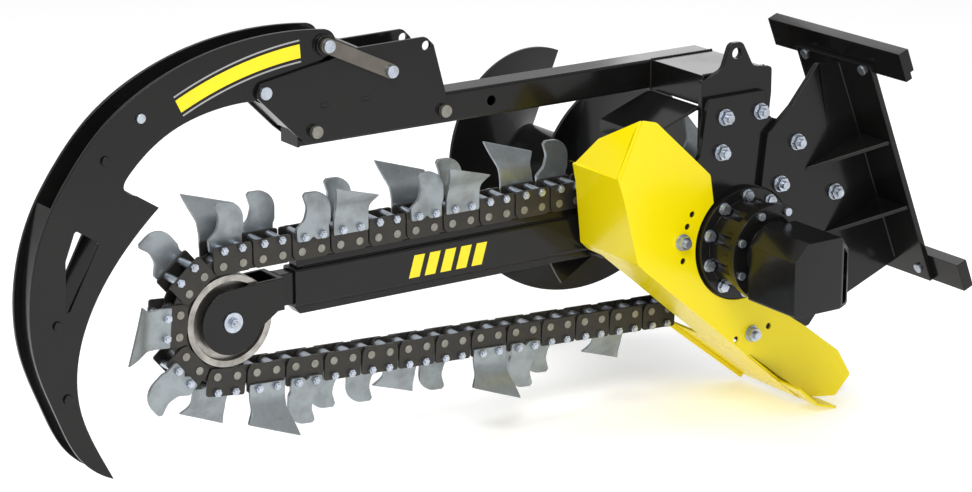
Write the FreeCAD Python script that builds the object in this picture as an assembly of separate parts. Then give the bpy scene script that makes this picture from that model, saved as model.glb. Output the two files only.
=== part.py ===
import FreeCAD, Part
import math
import os

os.makedirs("parts", exist_ok=True)
V = FreeCAD.Vector

# Frame: +X points to the loader, -X to the nose of the boom, -Y to the motor side, +Y to the auger
# side, +Z up. Millimetres. Every piece is modelled about the head shaft, where it crosses the chain's
# middle plane, and is saved about the centre of the lower hitch bar's loader face.

# ---- Driving dimensions ----
# chain
PITCH = 42.0
CHAIN_LINKS = 64
CHAIN_START = 12.0
NOSE_TEETH = 16
SPROCKET_TEETH = 12
CHAIN_HALF_WIDTH = 27.8
PLATE_T = 5.0
PLATE_GAP = 0.3
PLATE_INNER_H = 16.0
PLATE_END_R = 19.5
LUG_H = 30.0
LUG_TOP = 38.0
LUG_SPACING = 38.0
PIN_R = 7.0
ROLLER_R = 12.5
LUG_BOLT_R = 5.0
LUG_NUT_FLATS = 14.0
FIN_T = 8.0
SCOOP_T = 6.0
SPACER_R = 7.0
# boom and nose
BOOM_WIDTH = 46.0
BOOM_HEIGHT = 75.0
BOOM_WALL = 6.0
BOOM_OFFSET_Z = 9.0
RAIL_T = 16.0
RAIL_WIDTH = 30.0
NECK_LENGTH = 46.0
SHANK_LENGTH = 240.0
TENSION_TRAVEL = 30.0
CHEEK_R = 63.0
CHEEK_T = 8.0
AXLE_R = 15.0
# head
HEAD_PLANE = -208.0
HEAD_PLATE_T = 12.0
SHAFT_R = 38.0
MOTOR_SHAFT_R = 16.0
HOUSING_R = 70.0
FLANGE_R = 113.0
FLANGE_T = 16.0
FLANGE_BOLT_CIRCLE = 98.0
BARREL_R = 92.0
BARREL_LENGTH = 64.0
ADAPTER_R = 98.0
ADAPTER_T = 18.0
ADAPTER_BOLT_CIRCLE = 86.0
COVER_LENGTH = 140.0
# auger
AUGER_R = 250.0
AUGER_TUBE_R = 80.0
AUGER_BOLT_CIRCLE = 96.0
AUGER_START = 92.0
AUGER_FLANGE_R = 112.0
AUGER_PHASE = 149.0
AUGER_PITCH = 325.0
AUGER_TURNS = 1.4
FLIGHT_T = 8.0
# deflector
DEFLECTOR_T = 5.0
# hitch
HITCH_LEAN = 21.4
HITCH_TOP_Z = 345.0
HITCH_LENGTH = 520.0
HITCH_PLATE_WIDTH = 226.0
HITCH_PLATE_T = 12.0
HITCH_PLATE_Y = -216.0
HITCH_BAR_LENGTH = 400.0
HITCH_BAR_T = 25.0
HITCH_BAR_H = 62.0
HITCH_FACE_X = 224.0
# crumber beam and bracket
BEAM_SIZE = 60.0
BEAM_WALL = 5.0
BEAM_Z = 313.0
BEAM_FRONT_X = -901.0
BEAM_BACK_X = 66.0
BRACKET_GAP = 73.0
BRACKET_T = 8.0
PIN_A_X = -872.0
PIN_B_X = -588.0
BEAM_SPARE_X = -469.0
QUICK_PIN_R = 9.5
STOP_AT = (-976.0, 399.5)
LINK_FRONT_AT = (-845.0, 471.5)
LINK_BACK_AT = (-709.0, 406.5)
EYE_AT = (-626.0, 443.0)
EYE_HOLE_R = 9.0
LYNCH_RING_R = 16.0
LYNCH_RING_TILT = 16.0
# crumber
CRUMBER_T = 8.0
LINK_PIN_R = 8.0
STRAP_T = 8.0
STRAP_R = 14.0

# ---- Clearances ----
RUNNING = 0.05
SIDE_PLAY = 0.4
BOLT_PLAY = 0.5

# ---- Derived places ----
NOSE_R = PITCH / 2 / math.sin(math.pi / NOSE_TEETH)
SPROCKET_R = PITCH / 2 / math.sin(math.pi / SPROCKET_TEETH)
NOSE_Z = SPROCKET_R - NOSE_R
INNER_PLATE_Y = CHAIN_HALF_WIDTH - PLATE_T - PLATE_GAP
ROLLER_HALF = INNER_PLATE_Y - PLATE_T - 0.1
BOOM_TOP = BOOM_OFFSET_Z + BOOM_HEIGHT / 2
BOOM_BOTTOM = BOOM_OFFSET_Z - BOOM_HEIGHT / 2
HEAD_FACE = HEAD_PLANE - HEAD_PLATE_T
BEAM_HALF = BEAM_SIZE / 2
BRACKET_IN = BRACKET_GAP / 2
BRACKET_OUT = BRACKET_IN + BRACKET_T
CRUMBER_OUT = BRACKET_IN - SIDE_PLAY
CRUMBER_IN = CRUMBER_OUT - CRUMBER_T
STRAP_IN = BRACKET_OUT + SIDE_PLAY
STRAP_OUT = STRAP_IN + STRAP_T


LEAN = math.radians(HITCH_LEAN)
LOW_BAR_ALONG = HITCH_LENGTH - 8 - HITCH_BAR_H / 2
LOW_BAR_OUT = HITCH_PLATE_T + HITCH_BAR_T
ORIGIN_X = HITCH_FACE_X + LOW_BAR_ALONG * math.sin(LEAN) + LOW_BAR_OUT * math.cos(LEAN)
ORIGIN_Z = HITCH_TOP_Z - LOW_BAR_ALONG * math.cos(LEAN) + LOW_BAR_OUT * math.sin(LEAN)


# ---- Shape helpers ----
def save(name, shapes):
    """Write one node: a list of shapes becomes one STEP file of separate solids."""
    if not isinstance(shapes, (list, tuple)):
        shapes = [shapes]
    solids = []
    for shape in shapes:
        solids.extend(shape.Solids)
    for solid in solids:
        if not solid.isValid() or solid.Volume <= 0:
            raise ValueError("bad solid in " + name)
    node = Part.makeCompound(solids)
    node.translate(V(-ORIGIN_X, -HITCH_PLATE_Y, -ORIGIN_Z))
    node.exportStep("parts/" + name + ".step")


def box(x0, x1, y0, y1, z0, z1):
    return Part.makeBox(x1 - x0, y1 - y0, z1 - z0, V(x0, y0, z0))


def cyl_y(x, z, radius, y0, y1):
    """A round bar along Y from y0 to y1."""
    return Part.makeCylinder(radius, y1 - y0, V(x, y0, z), V(0, 1, 0))


def cyl_between(start, end, radius):
    direction = end.sub(start)
    return Part.makeCylinder(radius, direction.Length, start, direction)


def tube_y(x, z, radius, bore, y0, y1):
    return cyl_y(x, z, radius, y0, y1).cut(cyl_y(x, z, bore, y0 - 1, y1 + 1))


def corner_arc(before, corner, after, radius):
    """Tangent arc that rounds a corner: its start, middle and end."""
    a = before.sub(corner).normalize()
    b = after.sub(corner).normalize()
    half = a.getAngle(b) / 2
    reach = radius / math.tan(half)
    start = corner.add(V(a).multiply(reach))
    end = corner.add(V(b).multiply(reach))
    bisector = a.add(b).normalize()
    centre = corner.add(V(bisector).multiply(radius / math.sin(half)))
    middle = centre.sub(V(bisector).multiply(radius))
    return start, middle, end


def outline(points, y):
    """Closed wire in an XZ plane. A point is (x, z) or (x, z, corner radius)."""
    corners = [V(p[0], y, p[1]) for p in points]
    radii = [p[2] if len(p) > 2 else 0 for p in points]
    count = len(points)
    edges = []
    pieces = []
    for i in range(count):
        if radii[i] > 0:
            pieces.append(corner_arc(corners[i - 1], corners[i], corners[(i + 1) % count], radii[i]))
        else:
            pieces.append((corners[i], None, corners[i]))
    for i in range(count):
        start, middle, end = pieces[i]
        if middle is not None:
            edges.append(Part.Arc(start, middle, end).toShape())
        following = pieces[(i + 1) % count][0]
        if end.distanceToPoint(following) > 1e-6:
            edges.append(Part.LineSegment(end, following).toShape())
    return Part.Wire(edges)


def prism(points, y0, y1):
    """Flat-sided plate: an XZ outline extruded along Y."""
    return Part.Face(outline(points, y0)).extrude(V(0, y1 - y0, 0))


def hexagon_y(x, z, across_flats, y0, y1):
    radius = across_flats / math.sqrt(3)
    points = []
    for i in range(6):
        turn = math.radians(60 * i)
        points.append((x + radius * math.cos(turn), z + radius * math.sin(turn)))
    return prism(points, y0, y1)


def bolt_y(x, z, radius, y_head, y_nut, head_h=None, side=1):
    """Hex bolt along Y with its washer, nut and thread end. y_head is under the head and
    y_nut is under the nut; side is +1 when the head points to -Y."""
    height = head_h or radius * 1.3
    washer = radius * 0.35
    shank_end = y_nut + side * (height + washer + radius)
    pieces = cyl_y(x, z, radius, *sorted((y_head, shank_end)))
    head_ends = sorted((y_head - side * washer, y_head - side * (height + washer)))
    pieces = pieces.fuse(hexagon_y(x, z, radius * 3.2, *head_ends))
    pieces = pieces.fuse(cyl_y(x, z, radius * 2.1, *sorted((y_head, y_head - side * washer))))
    nut = hexagon_y(x, z, radius * 3.2, *sorted((y_nut + side * washer, y_nut + side * (height + washer))))
    pieces = pieces.fuse(nut)
    pieces = pieces.fuse(cyl_y(x, z, radius * 2.1, *sorted((y_nut, y_nut + side * washer))))
    return pieces


def turned(x, z, angle, shape):
    """Move a shape made about the origin to (x, z), its X axis turned to the angle (radians, X to Z)."""
    placed = shape.copy()
    placed.rotate(V(0, 0, 0), V(0, 1, 0), -math.degrees(angle))
    placed.translate(V(x, 0, z))
    return placed


def facet(corners, thickness):
    """Flat panel: a closed loop of 3-D corners thickened along its normal."""
    points = [V(*c) for c in corners]
    loop = Part.makePolygon(points + [points[0]])
    face = Part.Face(loop)
    normal = face.normalAt(0, 0)
    return face.extrude(normal.multiply(thickness))


# ---- Chain path ----
def path_point(distance, centre):
    """Point on the chain's pitch line: top run to the nose, nose wrap, bottom run, head wrap."""
    run_x = -centre
    tilt = 2 * math.atan2(NOSE_R - SPROCKET_R, centre)
    bottom_run = centre
    nose_arc = NOSE_R * (math.pi - tilt)
    head_arc = SPROCKET_R * (math.pi + tilt)
    total = centre + nose_arc + bottom_run + head_arc
    distance = distance % total
    if distance < centre:
        return V(-distance, 0, SPROCKET_R)
    distance -= centre
    if distance < nose_arc:
        angle = math.pi / 2 + distance / NOSE_R
        return V(run_x + NOSE_R * math.cos(angle), 0, NOSE_Z + NOSE_R * math.sin(angle))
    distance -= nose_arc
    angle = math.pi / 2 + math.pi - tilt
    start = V(run_x + NOSE_R * math.cos(angle), 0, NOSE_Z + NOSE_R * math.sin(angle))
    if distance < bottom_run:
        return start.add(V(-math.sin(angle), 0, math.cos(angle)).multiply(distance))
    distance -= bottom_run
    angle += distance / SPROCKET_R
    return V(SPROCKET_R * math.cos(angle), 0, SPROCKET_R * math.sin(angle))


def walk_chain(centre):
    """Step round the path with a straight chord of one pitch, from just past the sprocket's top."""
    distance = CHAIN_START
    points = [path_point(distance, centre)]
    for _ in range(CHAIN_LINKS):
        low = distance + PITCH * 0.98
        high = distance + PITCH * 1.03
        for _ in range(50):
            middle = (low + high) / 2
            if path_point(middle, centre).sub(points[-1]).Length < PITCH:
                low = middle
            else:
                high = middle
        distance = (low + high) / 2
        points.append(path_point(distance, centre))
    return points, distance - CHAIN_START


def path_length(centre):
    tilt = 2 * math.atan2(NOSE_R - SPROCKET_R, centre)
    return 2 * centre + NOSE_R * (math.pi - tilt) + SPROCKET_R * (math.pi + tilt)


def solve_centre():
    """Centre distance at which the chain closes exactly."""
    low = PITCH * (CHAIN_LINKS - NOSE_TEETH) / 2
    high = PITCH * CHAIN_LINKS / 2
    for _ in range(60):
        middle = (low + high) / 2
        if walk_chain(middle)[1] > path_length(middle):
            low = middle
        else:
            high = middle
    return (low + high) / 2


CENTRE = solve_centre()
NOSE_X = -CENTRE
PINS = walk_chain(CENTRE)[0][:CHAIN_LINKS]
WHEEL_R = NOSE_R * math.cos(math.pi / NOSE_TEETH) - PLATE_INNER_H - 0.6
BOOM_FRONT = NOSE_X + NOSE_R + NECK_LENGTH - 10
NOSE_SHANK_END = BOOM_FRONT - NECK_LENGTH + 2 + SHANK_LENGTH


def link_frame(index):
    """Middle and direction of the link from one pin to the next."""
    start = PINS[index]
    end = PINS[(index + 1) % CHAIN_LINKS]
    along = end.sub(start)
    middle = start.add(end).multiply(0.5)
    return middle.x, middle.z, math.atan2(along.z, along.x)


# The path runs anticlockwise seen from -Y, so the outside of the loop is at -Z of a link's own frame.
def outer_plate(y0, y1):
    """Side bar with two pin holes and two tooth lugs. It lies along X, the lugs at -Z."""
    half = PITCH / 2
    points = [(-half - PLATE_END_R, -LUG_TOP, 5), (half + PLATE_END_R, -LUG_TOP, 5),
              (half + PLATE_END_R, PLATE_INNER_H), (-half - PLATE_END_R, PLATE_INNER_H)]
    plate = prism(points, y0, y1)
    for side in (-1, 1):
        corner = box(0, PLATE_END_R + 1, y0 - 1, y1 + 1, 0, PLATE_INNER_H + 1)
        corner = corner.cut(cyl_y(0, 0, PLATE_END_R, y0 - 2, y1 + 2))
        if side < 0:
            corner = corner.mirror(V(0, 0, 0), V(1, 0, 0))
        corner.translate(V(side * half, 0, 0))
        plate = plate.cut(corner)
        plate = plate.cut(cyl_y(side * half, 0, PIN_R + RUNNING, y0 - 1, y1 + 1))
        plate = plate.cut(cyl_y(side * LUG_SPACING / 2, -LUG_H, LUG_BOLT_R + RUNNING, y0 - 1, y1 + 1))
    return plate


def inner_plate(y0, y1):
    """Plain link plate with two pin holes and round ends."""
    half = PITCH / 2
    plate = box(-half, half, y0, y1, -PLATE_INNER_H, PLATE_INNER_H)
    for side in (-1, 1):
        plate = plate.fuse(cyl_y(side * half, 0, PLATE_INNER_H, y0, y1))
    plate = plate.removeSplitter()
    for side in (-1, 1):
        plate = plate.cut(cyl_y(side * half, 0, PIN_R + RUNNING, y0 - 1, y1 + 1))
    return plate


# Teeth by side-bar pair, in travel order from the top of the sprocket to the nose and back:
# S is a wide flared scoop, F a narrow fin tooth, B both, and - leaves the pair bare.
NEAR_TEETH = "--F---SF-SF---SF-SF----SF----SF-"
FAR_TEETH = "---FS-FS-F-FBF--S--FFSF-SF-S-F-S"
TOOTH_SEAT = {"F": FIN_T, "S": SCOOP_T, "B": SCOOP_T, "-": 0.0}


def make_chain():
    """Side bars, inner links, pins, rollers, and the spacer tubes and bolts of the tooth lugs."""
    outer_in = CHAIN_HALF_WIDTH - PLATE_T
    near_master = outer_plate(-CHAIN_HALF_WIDTH, -outer_in)
    far_master = outer_plate(outer_in, CHAIN_HALF_WIDTH)
    inner_near = inner_plate(-INNER_PLATE_Y, -INNER_PLATE_Y + PLATE_T)
    inner_far = inner_plate(INNER_PLATE_Y - PLATE_T, INNER_PLATE_Y)
    near, far, inner = [], [], []
    spacers, bolts = [], []
    for index in range(0, CHAIN_LINKS, 2):
        x, z, angle = link_frame(index)
        near.append(turned(x, z, angle, near_master))
        far.append(turned(x, z, angle, far_master))
        near_seat = -CHAIN_HALF_WIDTH - TOOTH_SEAT[NEAR_TEETH[index // 2]]
        far_seat = CHAIN_HALF_WIDTH + TOOTH_SEAT[FAR_TEETH[index // 2]]
        for side in (-1, 1):
            at = side * LUG_SPACING / 2
            spacer = tube_y(at, -LUG_H, SPACER_R, LUG_BOLT_R + RUNNING, -outer_in, outer_in)
            spacers.append(turned(x, z, angle, spacer))
            bolt = cyl_y(at, -LUG_H, LUG_BOLT_R, near_seat - 9, far_seat)
            bolt = bolt.fuse(hexagon_y(at, -LUG_H, LUG_NUT_FLATS, near_seat - 6, near_seat))
            bolt = bolt.fuse(hexagon_y(at, -LUG_H, LUG_NUT_FLATS, far_seat, far_seat + 5))
            bolts.append(turned(x, z, angle, bolt))
        x, z, angle = link_frame(index + 1)
        inner.append(turned(x, z, angle, inner_near))
        inner.append(turned(x, z, angle, inner_far))
    save("chain_side_bars", near + far)
    save("chain_inner_plates", inner)
    save("chain_lug_spacers", spacers)
    save("chain_lug_bolts", bolts)
    pin = cyl_y(0, 0, PIN_R, -CHAIN_HALF_WIDTH, CHAIN_HALF_WIDTH)
    for side in (-1, 1):
        head = cyl_y(0, 0, PIN_R + 0.8, *sorted((side * CHAIN_HALF_WIDTH, side * (CHAIN_HALF_WIDTH + 1.5))))
        pin = pin.fuse(head)
    roller = tube_y(0, 0, ROLLER_R, PIN_R + 0.1, -ROLLER_HALF, ROLLER_HALF)
    save("chain_pins", [turned(p.x, p.z, 0, pin) for p in PINS])
    save("chain_rollers", [turned(p.x, p.z, 0, roller) for p in PINS])


def fin_tooth():
    """Hooked digging tooth with a round back, on two round ears. It stands toward -Z and points along +X."""
    foot = -LUG_H + 9
    points = [(-34, foot, 5), (-9, foot, 4), (0, foot - 7), (9, foot, 4), (34, foot, 5), (36, -46, 6),
              (18, -62, 22), (12, -84, 22), (20, -108, 3), (15, -114, 3), (-39, -113, 36),
              (-38, -55, 6), (-34, -46, 4)]
    return prism(points, 0, FIN_T)


def scoop_tooth():
    """Wide bent blade: a flange bolted to the lugs, then a blade that leans out to +Y."""
    reach = 37.0
    lower = -LUG_H - 12
    flange = prism([(-38, -LUG_H + 9, 3), (38, -LUG_H + 9, 3), (38, lower), (-38, lower)], 0, SCOOP_T)
    profile = Part.Wire([
        Part.Arc(V(0, 0, lower), V(0, 5, lower - 25), V(0, 18, lower - 48)).toShape(),
        Part.Arc(V(0, 18, lower - 48), V(0, 29, lower - 65), V(0, reach, lower - 82)).toShape(),
        Part.LineSegment(V(0, reach, lower - 82), V(0, reach + 5, lower - 80)).toShape(),
        Part.Arc(V(0, reach + 5, lower - 80), V(0, 34.5, lower - 62), V(0, 23.5, lower - 45)).toShape(),
        Part.Arc(V(0, 23.5, lower - 45), V(0, 11, lower - 24), V(0, 6, lower)).toShape(),
        Part.LineSegment(V(0, 6, lower), V(0, 0, lower)).toShape()])
    blade = Part.Face(profile).extrude(V(112, 0, 0))
    blade.translate(V(-56, 0, 0))
    outline = [(-38, lower), (38, lower), (38, -72, 20), (54, -123), (-50, -92), (-36, -72, 20)]
    trim = prism(outline, -1, reach + 8)
    return flange.fuse(blade.common(trim)).removeSplitter()


def make_teeth():
    fin = fin_tooth()
    scoop = scoop_tooth()
    fins, scoops = [], []
    for codes, side in ((NEAR_TEETH, -1), (FAR_TEETH, 1)):
        for index, code in enumerate(codes):
            x, z, angle = link_frame(2 * index)
            if code == "F":
                fins.append(turned(x, z, angle, drilled(place_side(fin, side), LUG_BOLT_R + BOLT_PLAY)))
            if code == "B":
                middle = fin.copy()
                middle.translate(V(0, -FIN_T / 2, 0))
                fins.append(turned(x, z, angle, drilled(middle, SPACER_R + RUNNING)))
            if code in "SB":
                scoops.append(turned(x, z, angle, drilled(place_side(scoop, side), LUG_BOLT_R + BOLT_PLAY)))
    save("fin_teeth", fins)
    save("scoop_teeth", scoops)


def place_side(shape, side):
    """Put a tooth made at Y 0 outward on the +Y or -Y side bar."""
    placed = shape.copy()
    placed.translate(V(0, CHAIN_HALF_WIDTH, 0))
    if side < 0:
        placed = placed.mirror(V(0, 0, 0), V(0, 1, 0))
    return placed


def drilled(tooth, radius):
    """Cut the two lug holes through a tooth that is still at the origin."""
    for side in (-1, 1):
        tooth = tooth.cut(cyl_y(side * LUG_SPACING / 2, -LUG_H, radius, -90, 90))
    return tooth


# ---- Drive ----
def make_sprocket():
    """Twelve-tooth chain sprocket with roller seats, on a hub."""
    half = ROLLER_HALF - 2.5
    seat = ROLLER_R + 0.4
    meshed = PINS[-3]
    first = math.atan2(meshed.z, meshed.x)
    disc = cyl_y(0, 0, SPROCKET_R + 2, -half, half)
    for index in range(SPROCKET_TEETH):
        angle = first + 2 * math.pi * index / SPROCKET_TEETH
        x = SPROCKET_R * math.cos(angle)
        z = SPROCKET_R * math.sin(angle)
        disc = disc.cut(cyl_y(x, z, seat, -half - 1, half + 1))
        relief = box(-seat - 1, seat + 1, -half - 1, half + 1, 0, 30)
        disc = disc.cut(turned(x, z, angle - math.pi / 2, relief))
    hub = cyl_y(0, 0, 52, -half - 12, half + 8)
    sprocket = disc.fuse(hub).cut(cyl_y(0, 0, SHAFT_R + 0.02, -80, 80))
    save("drive_sprocket", sprocket)


def make_drive():
    """Head shaft in two bearings, the motor coupling, and the auger flange."""
    adapter_face = HEAD_FACE - FLANGE_T - BARREL_LENGTH
    shaft = cyl_y(0, 0, SHAFT_R, adapter_face + 12, 60)
    shaft = shaft.fuse(cyl_y(0, 0, AUGER_FLANGE_R, 60, 74))
    shaft = shaft.cut(cyl_y(0, 0, MOTOR_SHAFT_R + RUNNING, adapter_face, adapter_face + 60))
    for x, z in ring_points(6, AUGER_BOLT_CIRCLE, 0):
        shaft = shaft.cut(cyl_y(x, z, 6 + BOLT_PLAY, 59, 75))
    save("head_shaft", shaft)
    make_sprocket()
    inner, outer = [], []
    for start in (adapter_face + 14, -75.0):
        inner.append(tube_y(0, 0, 46, SHAFT_R + 0.02, start, start + 28))
        outer.append(tube_y(0, 0, 64.98, 46 + RUNNING, start, start + 28))
    save("bearing_inner_rings", inner)
    save("bearing_outer_rings", outer)
    seals = [tube_y(0, 0, 64.98, SHAFT_R + RUNNING, -46.5, -38.5)]
    save("shaft_seal", seals)
    housing = cyl_y(0, 0, HOUSING_R, HEAD_FACE, -38)
    housing = housing.fuse(cyl_y(0, 0, FLANGE_R, HEAD_FACE - FLANGE_T, HEAD_FACE))
    housing = housing.fuse(cyl_y(0, 0, BARREL_R, adapter_face, HEAD_FACE - FLANGE_T))
    housing = housing.cut(cyl_y(0, 0, 65, adapter_face - 1, -30))
    for x, z in ring_points(10, FLANGE_BOLT_CIRCLE, 18):
        housing = housing.cut(cyl_y(x, z, 6 + BOLT_PLAY, HEAD_FACE - FLANGE_T - 1, HEAD_FACE + 1))
        housing = housing.cut(cyl_y(x, z, 13, adapter_face - 1, HEAD_FACE - FLANGE_T))
    save("bearing_housing", housing)
    adapter = tube_y(0, 0, ADAPTER_R, 16.5, adapter_face - ADAPTER_T, adapter_face)
    adapter = adapter.fuse(tube_y(0, 0, 62, 16.5, adapter_face - ADAPTER_T - 18, adapter_face - ADAPTER_T))
    for x, z in ring_points(8, ADAPTER_BOLT_CIRCLE, 22.5):
        adapter = adapter.cut(cyl_y(x, z, 5 + BOLT_PLAY, adapter_face - ADAPTER_T - 1, adapter_face + 1))
    save("motor_adapter", adapter)
    motor_face = adapter_face - ADAPTER_T - 18
    motor = cyl_y(0, 0, 42, motor_face - 95, motor_face)
    motor = motor.fuse(box(-45, 45, motor_face - 60, motor_face - 30, -45, 45))
    motor = motor.fuse(box(-26, 26, motor_face - 95, motor_face - 40, 30, 52))
    for x in (-13, 13):
        motor = motor.cut(Part.makeCylinder(7, 20, V(x, motor_face - 80, 40), V(0, 0, 1)))
    motor = motor.cut(cyl_y(0, 0, 16.5, motor_face - 80, motor_face + 1))
    save("hydraulic_motor", motor)
    save("motor_shaft", cyl_y(0, 0, MOTOR_SHAFT_R, motor_face - 75, adapter_face + 58))
    flange_bolts = []
    for x, z in ring_points(10, FLANGE_BOLT_CIRCLE, 18):
        flange_bolts.append(bolt_y(x, z, 6, HEAD_FACE - FLANGE_T, HEAD_PLANE))
    adapter_bolts = []
    for x, z in ring_points(8, ADAPTER_BOLT_CIRCLE, 22.5):
        screw = cyl_y(x, z, 5, adapter_face - ADAPTER_T, adapter_face)
        screw = screw.fuse(cyl_y(x, z, 8, adapter_face - ADAPTER_T - 7, adapter_face - ADAPTER_T))
        adapter_bolts.append(screw)
    save("housing_bolts", flange_bolts + adapter_bolts)
    make_motor_cover(motor_face)


def ring_points(count, radius, first):
    """Points spaced round a circle, from a first angle in degrees."""
    points = []
    for index in range(count):
        turn = math.radians(first + 360 * index / count)
        points.append((radius * math.cos(turn), radius * math.sin(turn)))
    return points


def cover_section(inset):
    side = 74 - inset
    top = 64 - inset
    low = -80 + inset
    return [(-side, low, 6), (side, low, 6), (side, top - 34), (side - 34, top),
            (-side + 34, top), (-side, top - 34)]


def make_motor_cover(face):
    """Welded plate box round the motor, open at its back for hoses."""
    wall = 6.0
    length = COVER_LENGTH
    cover = prism(cover_section(0), face - length, face)
    cover = cover.cut(prism(cover_section(wall), face - length + wall, face + 1))
    cover = cover.cut(box(20, 100, face - length + 30, face - 40, -60, 10))
    bevel = box(0, 200, -60, 0, -120, 120)
    bevel.rotate(V(0, 0, 0), V(0, 0, 1), 28)
    bevel.translate(V(40, face - length, 0))
    save("motor_cover", cover.cut(bevel))


# ---- Head frame ----
HEAD_BOLTS = [(-48, 260), (40, 260), (-55, 190)]
HITCH_BOLTS = [(126, 188), (86, 108), (228, 70), (190, -110)]
DEFLECTOR_BOLTS = [(-151, 24), (29, -196)]


def make_head():
    """Main plate, lifting-eye plate behind it, and the box arm out to the crumber beam."""
    plate = prism([(-90, 301, 6), (52, 301, 6), (64, 244, 20), (160, 215, 15),
                   (262, 80, 30), (232, -150, 15),
                   (182, -208, 10), (20, -226, 12), (-60, -156, 20), (-178, -54, 20), (-178, 96, 30),
                   (-107, 190, 20)], HEAD_FACE, HEAD_PLANE)
    plate = plate.cut(cyl_y(0, 0, HOUSING_R + 0.3, HEAD_FACE - 1, HEAD_PLANE + 1))
    eye = prism([(-97, 334, 5), (-46, 352, 18), (-28, 402, 15), (2, 402, 15), (30, 350, 18), (77, 343, 8),
                 (77, 290, 20), (62, 150, 10), (-80, 150, 10), (-97, 200, 10)], HEAD_PLANE, HEAD_PLANE + 12)
    eye = eye.cut(cyl_y(-12, 380, 11, HEAD_PLANE - 1, HEAD_PLANE + 14))
    bolts = []
    for x, z in HEAD_BOLTS:
        hole = cyl_y(x, z, 8 + BOLT_PLAY, HEAD_FACE - 1, HEAD_PLANE + 14)
        plate = plate.cut(hole)
        eye = eye.cut(hole)
        bolts.append(bolt_y(x, z, 8, HEAD_PLANE + 12, HEAD_FACE, side=-1))
    for x, z in HITCH_BOLTS:
        plate = plate.cut(cyl_y(x, z, 8 + BOLT_PLAY, HEAD_FACE - 1, HEAD_PLANE + 1))
        bolts.append(bolt_y(x, z, 8, HEAD_PLANE, HEAD_FACE - HEAD_PLATE_T, side=-1))
    for x, z in DEFLECTOR_BOLTS:
        plate = plate.cut(cyl_y(x, z, 8 + BOLT_PLAY, HEAD_FACE - 1, HEAD_PLANE + 1))
        bolts.append(bolt_y(x, z, 8, HEAD_PLANE, HEAD_FACE - DEFLECTOR_T, side=-1))
    for x, z in ring_points(10, FLANGE_BOLT_CIRCLE, 18):
        plate = plate.cut(cyl_y(x, z, 6 + BOLT_PLAY, HEAD_FACE - 1, HEAD_PLANE + 1))
    save("head_plate", plate)
    save("lifting_eye_plate", eye)
    save("head_bolts", bolts)
    back = HEAD_PLANE + 12
    low = BEAM_Z - BEAM_HALF
    high = BEAM_Z + BEAM_HALF
    arm = box(-86, BEAM_BACK_X, back, -BEAM_HALF, low, high)
    arm = arm.cut(box(-80, BEAM_BACK_X - 6, back - 1, -BEAM_HALF + 1, low + 6, high - 6))
    save("beam_cross_arm", arm)
    guard = prism([(-212, 214), (-205, 214), (-205, 236), (-100, 275), (-86, 275), (-86, 281), (-101, 281),
                   (-212, 241)], back, -BEAM_HALF - 2)
    save("chain_guard", guard)


def make_boom():
    """Boom tube with hard wear rails, and its box root bolted out to the main plate."""
    root_x = -212.0
    collar_x = -230.0
    collar_y = -72.0
    half = BOOM_WIDTH / 2
    end_x = -SPROCKET_R - 38
    tube = box(BOOM_FRONT, end_x, -half, half, BOOM_BOTTOM, BOOM_TOP)
    hollow = box(BOOM_FRONT - 1, end_x - 10, -half + BOOM_WALL, half - BOOM_WALL,
                 BOOM_BOTTOM + BOOM_WALL, BOOM_TOP - BOOM_WALL)
    edges = [e for e in tube.Edges if abs(e.BoundBox.XLength - (end_x - BOOM_FRONT)) < 0.01]
    tube = tube.makeFillet(6, edges)
    stop_x = NOSE_SHANK_END + 190
    stop = box(stop_x, stop_x + 12, -half + BOOM_WALL, half - BOOM_WALL, BOOM_BOTTOM + BOOM_WALL,
               BOOM_TOP - BOOM_WALL)
    save("boom_tube", tube.cut(hollow).fuse(stop))
    rail_half = RAIL_WIDTH / 2
    top = box(BOOM_FRONT + 8, end_x, -rail_half, rail_half, BOOM_TOP, BOOM_TOP + RAIL_T)
    low = prism([(BOOM_FRONT, BOOM_BOTTOM), (end_x, BOOM_BOTTOM), (end_x, BOOM_BOTTOM - RAIL_T),
                 (BOOM_FRONT + 14, BOOM_BOTTOM - RAIL_T)], -rail_half, rail_half)
    save("boom_wear_rails", [top, low])
    low = BOOM_BOTTOM - 6
    high = BOOM_TOP + 4
    wall = 8.0
    root = box(root_x, end_x - 4, HEAD_PLANE, -half, low, high)
    root = root.fuse(box(collar_x, root_x + 1, collar_y, -half, low, high)).removeSplitter()
    hollow = box(root_x + wall, end_x - 4 - wall, HEAD_PLANE - 1, -half - wall, low + wall, high - wall)
    collar_hollow = box(collar_x + wall, root_x + wall + 1, collar_y + wall, -half - wall,
                        low + wall, high - wall)
    save("boom_root_box", root.cut(hollow).cut(collar_hollow))


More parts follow.
